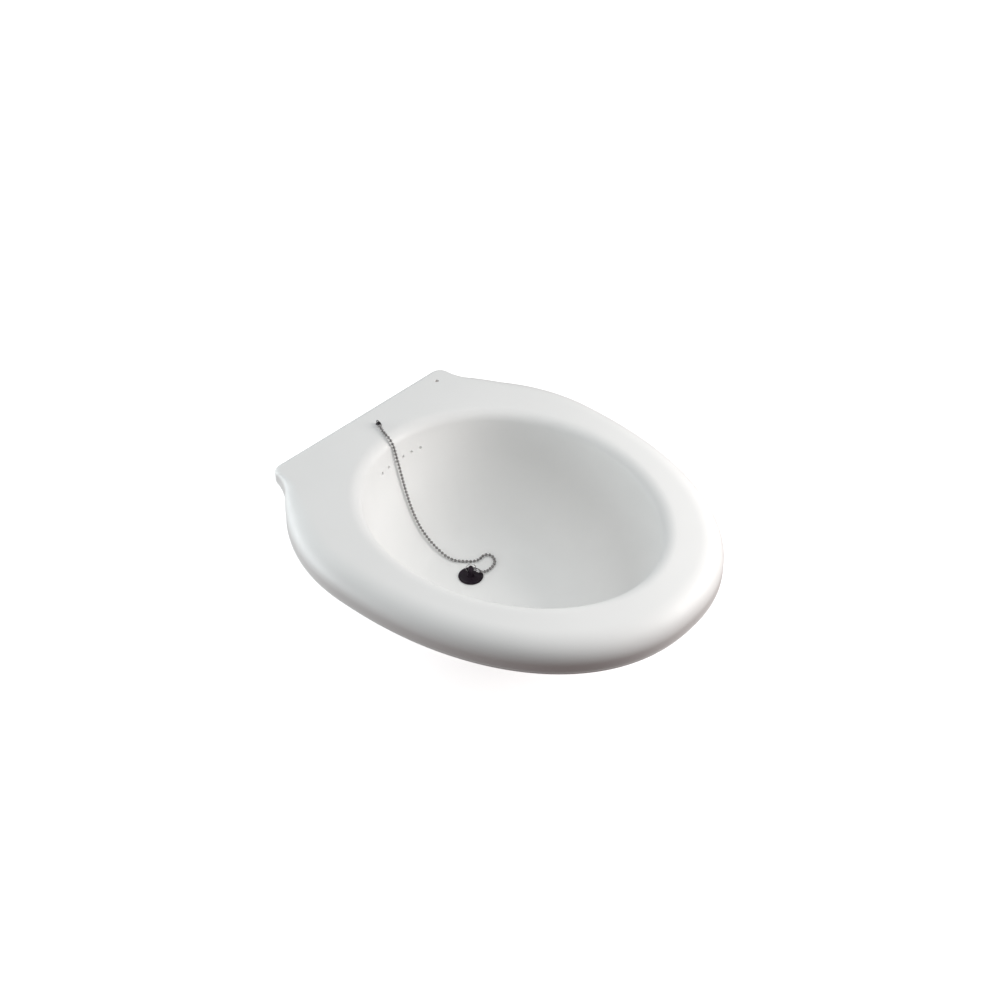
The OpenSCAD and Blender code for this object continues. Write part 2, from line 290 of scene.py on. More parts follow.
def plated(name, bright, darker_tone, roughness, corner=0.0012):
    """Bright plating whose colour is painted darker in its corners, as painted shade, and stained at random.
    """
    material, shader = new_material(name)
    graph = Graph(material, shader)
    shader.inputs["Metallic"].default_value = 1.0
    # Painted shade: the colour darkens where ambient occlusion finds corners and gaps, such as between the
    # chain's balls
    unshaded_share = graph.spread(graph.occlusion_shade(corner), 0.35, 0.9)
    stain = graph.spread(graph.noise(500, 3, 0.6), 0.35, 0.7, 0.75, 1)
    share = graph.math("MULTIPLY", unshaded_share, stain)
    graph.link(graph.blend_colours(share, darker_tone, bright), shader.inputs["Base Color"])
    wear = graph.spread(graph.noise(800, 3), 0.3, 0.7, roughness, roughness * 1.8)
    graph.link(wear, shader.inputs["Roughness"])
    graph.bump(graph.noise(1500, 2), 0.1, 0.00005)
    return material


def brushed(name, bright, darker_tone, roughness):
    """Plain plated steel with the fine rings that turning leaves."""
    material, shader = new_material(name)
    graph = Graph(material, shader)
    shader.inputs["Metallic"].default_value = 1.0
    rings = graph.noise(300, 3, stretch=(1, 1, 14))
    graph.link(graph.blend_colours(graph.spread(rings, 0.3, 0.7), darker_tone, bright), shader.inputs["Base Color"])
    graph.link(graph.spread(rings, 0.3, 0.7, roughness, roughness * 1.5), shader.inputs["Roughness"])
    graph.bump(rings, 0.15, 0.00008)
    return material


PLASTIC = moulded_plastic()
RUBBER = black_rubber()
WIRE = plated("chrome_wire", (0.66, 0.65, 0.66), (0.07, 0.065, 0.065), 0.14)
# Painted dark reflection: the chain's plating is much darker than chrome and the fittings' nearly black,
# standing in for dark surroundings that chrome mirrors
BALLS = plated("chrome_chain", (0.30, 0.29, 0.29), (0.10, 0.095, 0.095), 0.12)
FITTINGS = plated("chrome_fittings", (0.07, 0.065, 0.068), (0.01, 0.009, 0.01), 0.2)
FIXINGS = brushed("steel_fixings", (0.58, 0.58, 0.59), (0.36, 0.36, 0.37), 0.28)


# ---------------------------------------------------------------- ball chain

# Middle line of the chain, from the stay's coupling over the lip and down the wall to the plug's coupling
CHAIN_ROUTE = MM * np.array([
    [-1.6, 184.9, 150.9], [-3.5, 181.2, 150.3], [-5.2, 177.2, 149.9], [-6.6, 173, 149.8],
    [-7.8, 168.5, 149.4], [-8.5, 163.8, 148], [-8.8, 159.8, 144.8], [-8.7, 157.4, 140], [-8.5, 155.9, 134.5],
    [-8.5, 154, 127.8], [-8.4, 151.1, 117.6], [-8.4, 147, 103], [-8.3, 142.6, 88], [-8, 137.4, 72.7],
    [-7.1, 131.3, 57.4], [-5.6, 124.5, 44.1], [-3.6, 118.3, 34.5], [-1.4, 112.2, 26.8], [0.6, 105.6, 20.7],
    [2.2, 98.4, 16.2], [3.8, 91.2, 13.9], [6, 84.8, 13.1], [9.4, 79.8, 12.9], [13.2, 75.2, 12.8],
    [17, 70.8, 12.8], [21.5, 67.7, 12.8], [26.6, 66.9, 12.9], [31.3, 67.4, 13], [35.1, 66.4, 13],
    [37.6, 63.9, 13], [38.3, 60.4, 12.9], [37.2, 56.2, 12.8], [34.2, 52.2, 12.8], [30, 49.4, 12.8],
    [25.4, 48.2, 12.8], [20.8, 47.9, 12.8], [16.8, 48.1, 13], [13.4, 48.6, 13.8], [10.9, 49.2, 14.8],
    [8.5, 50, 15.8], [6.5, 51, 17.1]])
BALL_D = 0.0032
BALL_PITCH = 0.0042
LINK_R = 0.0003
# The ball ends at this radius. The link runs into it straight, and leaves it tapering from a wider foot
COLLAR_R = 0.0007
LINK_IN = 0.000036
LINK_OUT = 0.000045
LINK_FOOT_R = 0.000595
# How many balls the two end pieces have besides their outermost one
HEAD_BALLS = 3
TAIL_BALLS = 2
CHAIN_SIDES = 16
CHAIN_FRAMES = 2000
ROUTE_STEPS = 12


def spline(points, steps):
    """Catmull-Rom curve through the points."""
    points = np.asarray(points, float)
    padded = np.vstack([points[:1], points, points[-1:]])
    line = []
    for a, b, c, d in zip(padded, padded[1:], padded[2:], padded[3:]):
        for t in np.arange(steps) / steps:
            bend = (2 * a - 5 * b + 4 * c - d) * t * t + (3 * b - a - 3 * c + d) * t ** 3
            line.append(0.5 * (2 * b + (c - a) * t + bend))
    return np.array(line + [points[-1]])


class Line:
    """A curve that is asked for points by their distance along it."""

    def __init__(self, points):
        self.points = np.asarray(points, float)
        steps = np.linalg.norm(np.diff(self.points, axis=0), axis=1)
        self.along = np.concatenate([[0], np.cumsum(steps)])
        self.length = self.along[-1]

    def at(self, distance):
        return np.column_stack([np.interp(distance, self.along, self.points[:, i]) for i in range(3)])


def frames_along(points):
    """Two directions square to the line at each point, which don't twist along it."""
    way = np.gradient(points, axis=0)
    way /= np.linalg.norm(way, axis=1)[:, None]
    side = np.cross([1.0, 0, 0], way[0])
    sides = []
    for w in way:
        side = side - w * (side @ w)
        side /= np.linalg.norm(side)
        sides.append(side)
    sides = np.array(sides)
    return sides, np.cross(way, sides)


def ball_section():
    """Distance along the chain and radius, over one ball and half a link each side of it.

    The two halves of a link aren't alike: the one before a ball is straight and the one after it is tapered.
    """
    radius = BALL_D / 2
    collar = math.degrees(math.asin(COLLAR_R / radius))
    ball = [(-radius * math.cos(a), radius * math.sin(a))
            for a in np.radians(np.linspace(collar, 180 - collar, 13))]
    before = [(-BALL_PITCH / 2, LINK_R), (ball[0][0] - LINK_IN, LINK_R)]
    after = [(ball[-1][0] + LINK_OUT, LINK_FOOT_R), (BALL_PITCH / 2, LINK_R)]
    return before + ball + after


def chain_piece(name, line, first, last, offset):
    """A run of balls and links, from ball first to ball last, as one swept skin."""
    stops = [(offset + n * BALL_PITCH + x, r) for n in range(first, last + 1) for x, r in ball_section()]
    stops = [s for n, s in enumerate(stops) if n == 0 or s[0] > stops[n - 1][0] + 1e-7]
    distance, radius = np.array(stops).T
    distance = np.clip(distance, 0, line.length)
    keep = np.concatenate([[True], np.diff(distance) > 1e-8])
    distance, radius = distance[keep], radius[keep]
    points = line.at(distance)
    place = np.linspace(distance[0], distance[-1], CHAIN_FRAMES)
    side, up = frames_along(line.at(place))
    side, up = (np.column_stack([np.interp(distance, place, v[:, i]) for i in range(3)]) for v in (side, up))
    turn = np.linspace(0, 2 * math.pi, CHAIN_SIDES, endpoint=False)
    rings = [p + r * (np.outer(np.cos(turn), s) + np.outer(np.sin(turn), u))
             for p, r, s, u in zip(points, radius, side, up)]
    return mesh_object(name, *swept_rings(rings)), points


# Places of the plug, the ring, the stay and the two couplings: middles from the CAD's boxes, turns in degrees
PLUG_AXIS = middle("drain_plug")
RING_R = 0.0054
EYE_TURN = -40
TAB_ANGLE = -38
STAY_YAW = -125
COUPLING_L = 0.0054
BELL_DEPTH = 0.0020
RING_MIDDLE = middle("plug_ring")
STAY_MIDDLE = middle("chain_stay")
STAY_EYE_R = 0.0017
STAY_WIRE_R = 0.0005
STAY_EYE = Vector((STAY_MIDDLE.x, STAY_MIDDLE.y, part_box("chain_stay")[1].z - STAY_EYE_R - STAY_WIRE_R))

PLUG_COUPLING = (Matrix.Translation(RING_MIDDLE)
                 @ Matrix.Rotation(math.radians(EYE_TURN), 4, "Z")
                 @ Matrix.Rotation(math.radians(-TAB_ANGLE), 4, "Y")
                 @ Matrix.Translation((RING_R, 0, 0)))
STAY_COUPLING = (Matrix.Translation(STAY_EYE - Vector((0, STAY_EYE_R, 0)))
                 @ Matrix.Rotation(math.radians(STAY_YAW), 4, "Z"))


def make_chain():
    mouth, inside = Vector((COUPLING_L, 0, 0)), Vector((COUPLING_L - BELL_DEPTH, 0, 0))
    ends = [[STAY_COUPLING @ p for p in (inside, mouth)], [PLUG_COUPLING @ p for p in (mouth, inside)]]
    route = np.vstack([[list(p) for p in ends[0]], CHAIN_ROUTE[1:-1], [list(p) for p in ends[1]]])
    line = Line(spline(route, ROUTE_STEPS))
    balls = int((line.length - BALL_D * 0.6) // BALL_PITCH) + 1
    offset = (line.length - (balls - 1) * BALL_PITCH) / 2
    head, _ = chain_piece("chain_head", line, 0, HEAD_BALLS, offset)
    tail, _ = chain_piece("chain_tail", line, balls - 1 - TAIL_BALLS, balls - 1, offset)
    main, path = chain_piece("chain", line, HEAD_BALLS + 1, balls - 2 - TAIL_BALLS, offset)
    for piece in (head, main, tail):
        finish_piece(piece, BALLS, None, "chrome_chain", sharp=40)
    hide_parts("ball_chain")
    stay_mouth, plug_mouth = ends[0][1], ends[1][0]
    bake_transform(head)
    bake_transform(tail)
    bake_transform(main)
    free = line.length - 2 * BELL_DEPTH
    return head, main, tail, path, stay_mouth, free


chain_head, chain, chain_tail, chain_path, chain_exit, chain_length = make_chain()


# ---------------------------------------------------------------- bowl

bowl_low, bowl_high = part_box("bowl")
HALF_W = 0.191
BACK_Y = -bowl_low.y
WIDEST_Y = 0.052
NOSE_L = BACK_Y + WIDEST_Y
RIM_Z = bowl_high.z
NOSE_POWER = 2.2
EAR_HALF_W = 0.126
EAR_CORNER_R = 0.012
WAIST_R = 0.036
SKIRT_H = 0.031
BACK_LIP_H = 0.015
ROLL_W = 0.025
ROLL_H = 0.020
BACK_ROLL_W = 0.007
BACK_ROLL_H = 0.005
BEAD = 0.0004
BEAD_UP = 0.0018
WALL = 0.003
OPEN_A = 0.1315
OPEN_B = 0.159
OPENING_EGG = 0.06
LIP_W = 0.016
LIP_H = 0.013
LIP_START = 14
FLOOR_Z = 0.011
FLOOR_A = 0.046
FLOOR_B = 0.060
FLOOR_Y = 0.022
WALL_POWER = 2.6
FOOT_R = 0.052
FOOT_WALL = 0.003
DRAIN_R = 0.0096
COLLAR_WALL = 0.003
COLLAR_Z = 0.001
OVERFLOW_N = 6
OVERFLOW_PITCH = 0.0117
OVERFLOW_R = 0.0016
OVERFLOW_DROP = 0.026
OVERFLOW_X = -0.003
EAR_HOLE = (0.102, 0.200)
EAR_HOLE_R = 0.002
STAY_HOLE_R = 0.0018
EDGE_R = 0.0011
FOOT_EDGE_R = 0.0009
COLLAR_EDGE_R = 0.0008
DRAIN_FLARE = 0.0008
HOLE_FLARE = 0.0004
OVERFLOW_REACH = 0.016
FLOOR_SHARES = (0.04, 0.2, 0.36, 0.52, 0.68, 0.84)
WALL_END = 0.965
ROLL_CHANGE_Y = (0.150, 0.214)
SKIRT_CHANGE_Y = (0.176, 0.214)
DENSITY = 7


def signed_power(value, power):
    return np.sign(value) * np.abs(value) ** power


def smooth(t):
    t = np.clip(t, 0, 1)
    return t * t * (3 - 2 * t)


def outline_points():
    """The rim's outline, anticlockwise from the nose, with the same stretches as the CAD's."""
    side = np.array([0, WIDEST_Y])
    corner = np.array([EAR_HALF_W - EAR_CORNER_R, BACK_Y - EAR_CORNER_R])
    # The hollow waist is an arc that touches both the side's arc and the ear's corner arc
    apart = np.linalg.norm(corner - side)
    way = (corner - side) / apart
    side_reach, corner_reach = HALF_W + WAIST_R, EAR_CORNER_R + WAIST_R
    waist_along = (side_reach ** 2 - corner_reach ** 2 + apart ** 2) / (2 * apart)
    waist_out = math.sqrt(side_reach ** 2 - waist_along ** 2)
    waist = side + way * waist_along + np.array([way[1], -way[0]]) * waist_out

    def bearing(v):
        return math.atan2(v[1], v[0])

    def stretch(steps, first=0):
        return np.arange(first, steps * DENSITY + 1) / (steps * DENSITY)

    def arc_points(centre, radius, start, end, share):
        a = start + (end - start) * share
        return centre + radius * np.column_stack([np.cos(a), np.sin(a)])

    side_end, corner_start = bearing(waist - side), bearing(waist - corner)
    nose = stretch(20)[:-1] * math.pi / 2
    back = stretch(7, 1)
    half = np.vstack([
        np.column_stack([HALF_W * signed_power(np.sin(nose), 2 / NOSE_POWER),
                         WIDEST_Y - NOSE_L * signed_power(np.cos(nose), 2 / NOSE_POWER)]),
        arc_points(side, HALF_W, 0, side_end, stretch(7)),
        arc_points(waist, WAIST_R, math.pi + side_end, math.pi + corner_start, stretch(4, 1)),
        arc_points(corner, EAR_CORNER_R, corner_start, math.pi / 2, stretch(4, 1)),
        np.column_stack([corner[0] * (1 - back), np.full(len(back), BACK_Y)])])
    return np.vstack([half, half[-2:0:-1] * [-1, 1]])


class Moulding:
    """The shell's skin as rings of points, from the middle of the floor to the skirt's bottom edge."""

    def __init__(self):
        self.outline = outline_points()
        angle = np.arctan2(self.outline[:, 1] / OPEN_B, self.outline[:, 0] / OPEN_A)
        egg = 1 + OPENING_EGG * np.sin(angle)
        self.opening = np.column_stack([OPEN_A * np.cos(angle) * egg, OPEN_B * np.sin(angle)])
        self.floor = np.column_stack([FLOOR_A * np.cos(angle), FLOOR_Y + FLOOR_B * np.sin(angle)])
        inward = self.opening - self.outline
        self.inward = inward / np.linalg.norm(inward, axis=1)[:, None]
        y = self.outline[:, 1]
        roll = smooth((y - ROLL_CHANGE_Y[0]) / (ROLL_CHANGE_Y[1] - ROLL_CHANGE_Y[0]))
        self.roll_w = ROLL_W + (BACK_ROLL_W - ROLL_W) * roll
        self.roll_h = ROLL_H + (BACK_ROLL_H - ROLL_H) * roll
        skirt = smooth((y - SKIRT_CHANGE_Y[0]) / (SKIRT_CHANGE_Y[1] - SKIRT_CHANGE_Y[0]))
        self.bottom = RIM_Z - (SKIRT_H + (BACK_LIP_H - SKIRT_H) * skirt)
        self.wall_top = RIM_Z - LIP_H

    def ring(self, plan, height):
        return np.column_stack([plan, np.broadcast_to(height, len(plan))])

    def floor_ring(self, share):
        centre = np.array([0, FLOOR_Y])
        return self.ring(centre + (self.floor - centre) * share, FLOOR_Z)

    def wall_ring(self, f):
        rise = (self.wall_top - FLOOR_Z) * (1 - f ** WALL_POWER)
        return self.ring(self.floor + (self.opening - self.floor) * f, self.wall_top - rise)

    def lip_ring(self, degrees):
        a = math.radians(degrees)
        plan = self.opening - self.inward * LIP_W * (1 - math.cos(a))
        return self.ring(plan, self.wall_top + LIP_H * math.sin(a))

    def inset(self, distance):
        return self.outline + self.inward * (np.broadcast_to(distance, len(self.outline)) + BEAD)[:, None]

    def roll_ring(self, degrees):
        a = math.radians(degrees)
        return self.ring(self.inset(self.roll_w * (1 - math.sin(a))), RIM_Z - self.roll_h * (1 - math.cos(a)))

    def skirt_ring(self, up):
        return self.ring(self.inset(0), self.bottom + up)

    def deck_rings(self, steps):
        first, last = self.lip_ring(90), self.roll_ring(0)
        return [first + (last - first) * t for t in np.arange(1, steps) / steps]


def normals(rings):
    """Outward normals of a skin of rings, from each point's neighbours."""
    along = np.roll(rings, -1, axis=1) - np.roll(rings, 1, axis=1)
    across = np.gradient(rings, axis=0)
    normal = np.cross(across, along)
    size = np.linalg.norm(normal, axis=2)[:, :, None]
    return normal / np.maximum(size, 1e-12)


def shell_skin():
    """One closed skin: the upper side from the middle out, round the bottom edge, and back under it."""
    shape = Moulding()
    rings = [shape.floor_ring(s) for s in FLOOR_SHARES]
    rings += [shape.wall_ring(f) for f in np.linspace(0, WALL_END, 36)]
    rings += [shape.lip_ring(a) for a in np.linspace(LIP_START, 90, 16)]
    rings += shape.deck_rings(7)
    rings += [shape.roll_ring(a) for a in np.linspace(0, 90, 20)]
    shoulder = shape.roll_ring(90)[:, 2] - shape.bottom
    rings += [shape.ring(shape.inset(0), shape.bottom + 2 * BEAD_UP + (shoulder - 2 * BEAD_UP) * t)
              for t in (0.8, 0.6, 0.4, 0.2, 0)]
    ups = np.linspace(2 * BEAD_UP, 0, 11)[1:]
    rings += [shape.skirt_ring(up) for up in ups]
    rings = np.array(rings)
    normal = normals(rings)
    normal[:len(FLOOR_SHARES) + 1] = (0, 0, 1)
    swell = np.zeros(len(rings))
    swell[-len(ups):] = BEAD * 0.5 * (1 - np.cos(math.pi * ups / BEAD_UP))
    outer = rings + normal * swell[:, None, None]
    inner = rings - normal * WALL
    # The bottom edge is round on both its corners
    turn = np.radians(np.linspace(0, 90, 6))
    base_outer, base_inner, out = outer[-1], inner[-1], normal[-1]
    cut = int(np.searchsorted(-ups, -EDGE_R)) - len(ups)
    outer, inner = outer[:cut], inner[:cut]
    rise = np.array([0, 0, EDGE_R])
    round_outer = [base_outer + rise * (1 - math.sin(a)) - out * EDGE_R * (1 - math.cos(a)) for a in turn]
    round_inner = [base_inner + rise * (1 - math.sin(a)) + out * EDGE_R * (1 - math.cos(a)) for a in turn]
    return list(outer) + round_outer + round_inner[::-1] + list(inner[::-1])


def tube_with_foot(inner_r, outer_r, low, high, edge):
    """A closed profile of a standing tube whose bottom edge is rounded."""
    return ([(inner_r, high)] + arc(inner_r + edge, low + edge, edge, 180, 270, 5)
            + arc(outer_r - edge, low + edge, edge, 270, 360, 5) + [(outer_r, high)])


def flared_bore(radius, low, high, flare, past=0.001):
    """A cutter for a bore from low to high whose ends open out in a small round."""
    end = [(radius + flare * (1 - math.cos(a)), math.sin(a) * flare)
           for a in np.radians(np.linspace(0, 80, 7))]
    top = [(r, high - flare + z) for r, z in end]
    bottom = [(r, low + flare - z) for r, z in reversed(end)]
    return [(bottom[0][0], low - past)] + bottom + top + [(top[-1][0], high + past)]


def make_bowl():
    bowl = mesh_object("bowl_moulding", *swept_rings(shell_skin()))
    under = FLOOR_Z - WALL / 2
    foot_profile = tube_with_foot(FOOT_R - FOOT_WALL, FOOT_R, 0, under, FOOT_EDGE_R)
    foot = mesh_object("foot", *revolved(foot_profile, 144, loop=True))
    foot.data.transform(Matrix.Translation((0, FLOOR_Y, 0)))
    combine(bowl, foot, "UNION")
    # The collar starts out narrower than the drain, which is then bored through it
    collar_profile = tube_with_foot(DRAIN_R - MM, DRAIN_R + COLLAR_WALL, COLLAR_Z, under, COLLAR_EDGE_R)
    collar = mesh_object("collar", *revolved(collar_profile, 96, loop=True))
    collar.data.transform(Matrix.Translation((0, PLUG_AXIS.y, 0)))
    combine(bowl, collar, "UNION")
    drain = mesh_object("drain", *revolved(flared_bore(DRAIN_R, COLLAR_Z, FLOOR_Z, DRAIN_FLARE), 96))
    drain.data.transform(Matrix.Translation((0, PLUG_AXIS.y, 0)))
    combine(bowl, drain, "DIFFERENCE")
    for x, y, radius in ((*EAR_HOLE, EAR_HOLE_R), (STAY_MIDDLE.x, STAY_MIDDLE.y, STAY_HOLE_R)):
        hole = mesh_object("hole", *revolved(flared_bore(radius, RIM_Z - WALL, RIM_Z, HOLE_FLARE), 40))
        hole.data.transform(Matrix.Translation((x, y, 0)))
        combine(bowl, hole, "DIFFERENCE")
    for k in range(OVERFLOW_N):
        bore = [(OVERFLOW_R, -OVERFLOW_REACH), (OVERFLOW_R, OVERFLOW_REACH)]
        hole = mesh_object("hole", *revolved(bore, 32))
        place = (OVERFLOW_X + (k - (OVERFLOW_N - 1) / 2) * OVERFLOW_PITCH, OPEN_B, RIM_Z - OVERFLOW_DROP)
        hole.data.transform(Matrix.Translation(place) @ Matrix.Rotation(math.pi / 2, 4, "X"))
        combine(bowl, hole, "DIFFERENCE")
    finish_piece(bowl, PLASTIC, "bowl_body", "moulded_plastic", "bowl", sharp=40)


make_bowl()


# ---------------------------------------------------------------- plug

PLUG_GAP = 0.0003
PLUG_TAPER = 0.0012
PLUG_BODY_H = 0.009
FLANGE_R = 0.0136
FLANGE_T = 0.0016
FLANGE_DISH = 0.0004
FLANGE_EDGE_R = 0.0008
BOSS_H = 0.0136
BOSS_BASE_R = 0.0038
BOSS_TOP_R = 0.0024
EYE_R = 0.0019
EYE_UP = 0.0056
EYE_REACH = 0.0032
EYE_FLARE = 0.0005
PLUG_EDGE_R = 0.0006
# The hollow under the plug: its top corner as (radius, height), and its radius at the mouth
HOLLOW_TOP = (0.0062, -0.0035)
HOLLOW_MOUTH_R = 0.0066
RIB_HEIGHTS = (-0.0062, -0.0036)
RIB_DEPTH = 0.0002
DOME_START = 20
PLUG_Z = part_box("drain_plug")[0].z + PLUG_BODY_H


def plug_profile():
    """From the hollow underside, round the body and the flange, to the top of the boss."""
    top_r = DRAIN_R - PLUG_GAP
    low_r = top_r - PLUG_TAPER
    edge_z = -PLUG_BODY_H + PLUG_EDGE_R
    hollow = [HOLLOW_TOP] + arc(HOLLOW_MOUTH_R, edge_z, PLUG_EDGE_R, 160, 270, 4)
    body = arc(low_r - PLUG_EDGE_R, edge_z, PLUG_EDGE_R, 270, 355, 4)
    ribs = []
    for rib in RIB_HEIGHTS:
        at = low_r + PLUG_TAPER * (1 + rib / PLUG_BODY_H) - RIB_DEPTH
        out = at + RIB_DEPTH
        ribs += [(at, rib - 0.0007), (out, rib - 0.0003), (out, rib + 0.0003), (at, rib + 0.0007)]
    seat = [(top_r - 0.0001, -0.0006), (top_r + 0.0004, 0)]
    edge = arc(FLANGE_R - FLANGE_EDGE_R, FLANGE_T - FLANGE_EDGE_R, FLANGE_EDGE_R, -80, 90, 12)
    lip_in = [(FLANGE_R - 0.0019, FLANGE_T - 0.00012), (FLANGE_R - 0.0025, FLANGE_T - FLANGE_DISH)]
    dish = [(0.008, FLANGE_T - FLANGE_DISH - 0.0001), (BOSS_BASE_R + 0.001, FLANGE_T - FLANGE_DISH)]
    foot = [(BOSS_BASE_R + 0.0003, FLANGE_T - 0.0004), (BOSS_BASE_R - 0.0002, FLANGE_T + 0.0004)]
    crown = arc(0, FLANGE_T + BOSS_H - BOSS_TOP_R, BOSS_TOP_R, DOME_START, 88, 8)
    cone_low, cone_top = np.array(foot[-1]), np.array(crown[0])
    cone = [tuple(cone_low + (cone_top - cone_low) * t) for t in (0.25, 0.5, 0.75)]
    return hollow + body + ribs + seat + [(FLANGE_R - 0.0012, 0)] + edge + lip_in + dish + foot + cone + crown


def make_plug():
    plug = mesh_object("plug", *revolved(plug_profile(), 96))
    hole = mesh_object("eye_cut", *revolved(flared_bore(EYE_R, -EYE_REACH, EYE_REACH, EYE_FLARE), 40))
    turned = Matrix.Rotation(math.radians(EYE_TURN), 4, "Z") @ Matrix.Rotation(math.pi / 2, 4, "Y")
    hole.data.transform(Matrix.Translation((0, 0, FLANGE_T + EYE_UP)) @ turned)
    combine(plug, hole, "DIFFERENCE")
    plug.data.transform(Matrix.Translation((PLUG_AXIS.x, PLUG_AXIS.y, PLUG_Z)))
    finish_piece(plug, RUBBER, "plug_body", "black_rubber", "drain_plug", sharp=50)


make_plug()


# ---------------------------------------------------------------- wire ring, couplings and stay

RING_WIRE_R = 0.00045
RING_GAP_TURN = 150


def wire_loop(name, mean_r, wire_r, gap_angle=0.0, around=72, sides=14):
    """A ring of round wire round +Z; with a gap its two ends butt together."""
    half = math.radians(gap_angle) / 2
    turn = np.linspace(half, 2 * math.pi - half, around, endpoint=bool(gap_angle))
    section = np.linspace(0, 2 * math.pi, sides, endpoint=False)
    rings = []
    for n, a in enumerate(turn):
        end = gap_angle and n in (0, around - 1)
        r = wire_r * (0.75 if end else 1)
        out = np.array([math.cos(a), math.sin(a), 0])
        rings.append([out * (mean_r + r * math.cos(s)) + [0, 0, r * math.sin(s)] for s in section])
    return mesh_object(name, *swept_rings(rings, loop=not gap_angle))


def make_ring():
    ring = wire_loop("ring", RING_R, RING_WIRE_R, gap_angle=1.5)
    ring.data.transform(Matrix.Translation(RING_MIDDLE)
                        @ Matrix.Rotation(math.radians(EYE_TURN), 4, "Z")
                        @ Matrix.Rotation(math.pi / 2, 4, "X")
                        @ Matrix.Rotation(math.radians(RING_GAP_TURN), 4, "Z"))
    finish_piece(ring, WIRE, "ring_body", "chrome_wire", "plug_ring")
    return ring


TAB_R = 0.0015
TAB_T = 0.0008
TAB_HOLE_R = 0.00075
NECK_R = 0.0006
BELL_R = 0.0020
BELL_HOLLOW_R = 0.0017
BELL_HOLLOW_L = 0.0026
BELL_START = 0.0017
TAB_EDGE_R = 0.00022
SHOULDER_R = 0.0009
SLOT_R = 0.00055
SLOT_STRETCH = 8
SLOT_PAST_MOUTH = 0.0022


def rounded_ring(inner_r, outer_r, low, high, edge):
    """A closed profile of a flat ring with rounded corners."""
    inner, outer = inner_r + edge, outer_r - edge
    return (arc(inner, low + edge, edge, 180, 270, 4) + arc(outer, low + edge, edge, 270, 360, 4)
            + arc(outer, high - edge, edge, 0, 90, 4) + arc(inner, high - edge, edge, 90, 180, 4))


def make_coupling(name, place, metal, metal_slot, body, node):
    """A tab with a hole at the origin, and a bell that opens along +X."""
    tab = rounded_ring(TAB_HOLE_R, TAB_R, -TAB_T / 2, TAB_T / 2, TAB_EDGE_R)
    coupling = mesh_object(name, *revolved(tab, 40, loop=True))
    neck = [(NECK_R, TAB_R - 0.0005), (NECK_R, BELL_START + 0.0001)]
    shoulder = arc(BELL_R - SHOULDER_R, BELL_START + 0.0013, SHOULDER_R, -60, 0, 5)
    mouth = arc((BELL_R + BELL_HOLLOW_R) / 2, COUPLING_L - 0.0002, (BELL_R - BELL_HOLLOW_R) / 2, 0, 180, 6)
    hollow_end = COUPLING_L - BELL_HOLLOW_L
    hollow = [(BELL_HOLLOW_R, hollow_end), (0.0004, hollow_end - 0.0002)]
    bell = neck + shoulder + [(BELL_R, COUPLING_L - 0.0006)] + mouth + hollow
    shell = mesh_object("bell", *revolved(bell, 40))
    shell.data.transform(Matrix.Rotation(math.pi / 2, 4, "Y"))
    combine(coupling, shell, "UNION")
    # Slot in the bell's side that the end ball's link slips through
    slot = mesh_object("slot", *revolved([(SLOT_R, 0), (SLOT_R, 2 * BELL_R)], 20))
    slot.data.transform(Matrix.Diagonal((SLOT_STRETCH, 1, 1, 1)))
    slot.data.transform(Matrix.Translation((COUPLING_L + SLOT_PAST_MOUTH, 0, 0)))
    combine(coupling, slot, "DIFFERENCE")
    coupling.data.transform(place)
    finish_piece(coupling, metal, body, metal_slot, node)
    return coupling


STEM_R = 0.0015
FLANGE_RING_R = 0.0024
FLANGE_RING_T = 0.0008
WASHER_R = 0.0045
WASHER_T = 0.0008
NUT_AF = 0.0055
NUT_T = 0.0024
STEM_END = 0.0012
FLANGE_RING_EDGE_R = 0.0005
WASHER_EDGE_R = 0.00015
NUT_CHAMFER = 0.0006
NUT_BORE_FLARE = 0.0003
THREAD_GAP = 0.00002
THREAD_PITCH = 0.0005
THREAD_DEPTH = 0.0003


def threaded_stem(name, radius, low, high, sides=24):
    """A stem whose skin is one screw thread that fades out at its ends."""
    steps = int(round((high - low) / THREAD_PITCH)) * 4
    rings = []
    for n in range(steps + 1):
        z = low + (high - low) * n / steps
        fade = min(1, (z - low) / THREAD_PITCH, (high - z) / THREAD_PITCH)
        ring = []
        for k in range(sides):
            phase = ((z - low) / THREAD_PITCH + k / sides) % 1
            r = radius - THREAD_DEPTH * (abs(2 * phase - 1) * fade + (1 - fade))
            a = 2 * math.pi * k / sides
            ring.append((r * math.cos(a), r * math.sin(a), z))
        rings.append(ring)
    return mesh_object(name, *swept_rings(rings))


